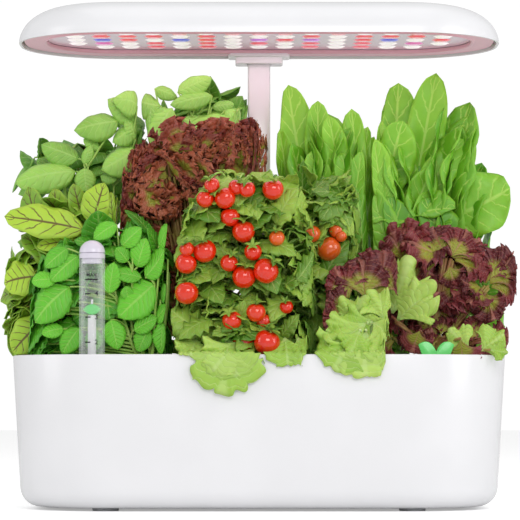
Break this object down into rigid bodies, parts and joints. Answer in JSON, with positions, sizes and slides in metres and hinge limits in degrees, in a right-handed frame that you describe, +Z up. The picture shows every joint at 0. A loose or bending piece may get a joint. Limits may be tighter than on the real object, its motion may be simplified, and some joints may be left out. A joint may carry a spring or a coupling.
{
  "type": "countertop hydroponic garden",
  "caption": "Countertop hydroponic garden: boat-shaped water tank with planted pods, float water gauge, sprout handled filler and a lens lamp on a sliding post.",
  "frame": {"origin": "centre of the footprint at the underside of the feet", "axes": "+Z up, -Y towards the front with the water gauge and filler, +X to the viewer's right, along the tank's length"},
  "size_m": [0.4113, 0.1937, 0.4093],
  "materials": {
    "white_shell": "gloss",
    "soft_white": "satin",
    "rubber_feet": "matte",
    "circuit_board": "satin",
    "black_plastic": "satin",
    "pink_white": "satin",
    "clear_plastic": "gloss",
    "leaf_green_plastic": "gloss",
    "basket_plastic": "satin",
    "foam": "matte",
    "basil_leaf": "satin",
    "spinach_leaf": "satin",
    "sorrel_leaf": "satin",
    "mint_leaf": "satin",
    "red_lettuce_leaf": "matte",
    "green_lettuce_leaf": "matte",
    "tomato_plant": "gloss"
  },
  "bodies": {
    "base": {"water_tank": "white_shell", "foot_front_left": "rubber_feet", "foot_front_right": "rubber_feet", "foot_back_left": "rubber_feet", "foot_back_right": "rubber_feet", "rear_housing": "soft_white", "control_board": "circuit_board", "power_socket": "black_plastic", "post_sleeve": "white_shell", "pump_body": "black_plastic", "pump_cover": "black_plastic", "riser_pipe": "soft_white"},
    "lamp": {"post_tube": "white_shell", "post_head": "white_shell", "lamp_shell": "white_shell", "lamp_bezel": "pink_white", "lens_panel": "clear_plastic", "led_board": "circuit_board"},
    "button": {"power_button": "soft_white"},
    "deck": {"grow_deck": "white_shell", "gauge_tube": "clear_plastic", "gauge_cap": "pink_white"},
    "float": {"float_body": "soft_white", "float_pointer": "leaf_green_plastic"},
    "filler_cap": {"fill_cap": "white_shell", "sprout_handle": "leaf_green_plastic"},
    "impeller": {"pump_impeller": "soft_white"},
    "pod_basil_left": {"basket_basil_left": "basket_plastic", "sponge_basil_left": "foam", "plant_basil_left": "basil_leaf"},
    "pod_basil_right": {"basket_basil_right": "basket_plastic", "sponge_basil_right": "foam", "plant_basil_right": "basil_leaf"},
    "pod_spinach_left": {"basket_spinach_left": "basket_plastic", "sponge_spinach_left": "foam", "plant_spinach_left": "spinach_leaf"},
    "pod_spinach_right": {"basket_spinach_right": "basket_plastic", "sponge_spinach_right": "foam", "plant_spinach_right": "spinach_leaf"},
    "pod_sorrel": {"basket_sorrel": "basket_plastic", "sponge_sorrel": "foam", "plant_sorrel": "sorrel_leaf"},
    "pod_frilly_lettuce": {"basket_frilly_lettuce": "basket_plastic", "sponge_frilly_lettuce": "foam", "plant_frilly_lettuce": "red_lettuce_leaf"},
    "pod_tomato_right": {"basket_tomato_right": "basket_plastic", "sponge_tomato_right": "foam", "plant_tomato_right": "tomato_plant"},
    "pod_red_lettuce": {"basket_red_lettuce": "basket_plastic", "sponge_red_lettuce": "foam", "plant_red_lettuce": "red_lettuce_leaf"},
    "pod_mint": {"basket_mint": "basket_plastic", "sponge_mint": "foam", "plant_mint": "mint_leaf"},
    "pod_tomato_front": {"basket_tomato_front": "basket_plastic", "sponge_tomato_front": "foam", "plant_tomato_front": "tomato_plant"},
    "pod_green_lettuce": {"basket_green_lettuce": "basket_plastic", "sponge_green_lettuce": "foam", "plant_green_lettuce": "green_lettuce_leaf"}
  },
  "joints": [
    {"name": "lamp_slide", "type": "slide", "parent": "base", "child": "lamp", "axis": [0, 0, 1], "range_m": [-0.01, 0.1]},
    {"name": "button_press", "type": "slide", "parent": "lamp", "child": "button", "axis": [0, 0, -1], "range_m": [0, 0.0008], "stiffness_N_per_m": 400},
    {"name": "deck_lift", "type": "slide", "parent": "base", "child": "deck", "axis": [0, 0, 1], "range_m": [0, 0.012]},
    {"name": "float_rise", "type": "slide", "parent": "deck", "child": "float", "axis": [0, 0, 1], "range_m": [-0.04, 0.024]},
    {"name": "fill_cap_lift", "type": "slide", "parent": "deck", "child": "filler_cap", "axis": [0, 0, 1], "range_m": [0, 0.02]},
    {"name": "impeller_spin", "type": "hinge", "parent": "base", "child": "impeller", "pos_m": [0.098, 0.0382, 0.0245], "axis": [0, 1, 0], "continuous": true},
    {"name": "lift_basil_left", "type": "slide", "parent": "deck", "child": "pod_basil_left", "axis": [0, 0, 1], "range_m": [0, 0.012]},
    {"name": "lift_basil_right", "type": "slide", "parent": "deck", "child": "pod_basil_right", "axis": [0, 0, 1], "range_m": [0, 0.012]},
    {"name": "lift_spinach_left", "type": "slide", "parent": "deck", "child": "pod_spinach_left", "axis": [0, 0, 1], "range_m": [0, 0.012]},
    {"name": "lift_spinach_right", "type": "slide", "parent": "deck", "child": "pod_spinach_right", "axis": [0, 0, 1], "range_m": [0, 0.012]},
    {"name": "lift_sorrel", "type": "slide", "parent": "deck", "child": "pod_sorrel", "axis": [0, 0, 1], "range_m": [0, 0.06]},
    {"name": "lift_frilly_lettuce", "type": "slide", "parent": "deck", "child": "pod_frilly_lettuce", "axis": [0, 0, 1], "range_m": [0, 0.06]},
    {"name": "lift_tomato_right", "type": "slide", "parent": "deck", "child": "pod_tomato_right", "axis": [0, 0, 1], "range_m": [0, 0.06]},
    {"name": "lift_red_lettuce", "type": "slide", "parent": "deck", "child": "pod_red_lettuce", "axis": [0, 0, 1], "range_m": [0, 0.06]},
    {"name": "lift_mint", "type": "slide", "parent": "deck", "child": "pod_mint", "axis": [0, 0, 1], "range_m": [0, 0.06]},
    {"name": "lift_tomato_front", "type": "slide", "parent": "deck", "child": "pod_tomato_front", "axis": [0, 0, 1], "range_m": [0, 0.06]},
    {"name": "lift_green_lettuce", "type": "slide", "parent": "deck", "child": "pod_green_lettuce", "axis": [0, 0, 1], "range_m": [0, 0.06]}
  ]
}
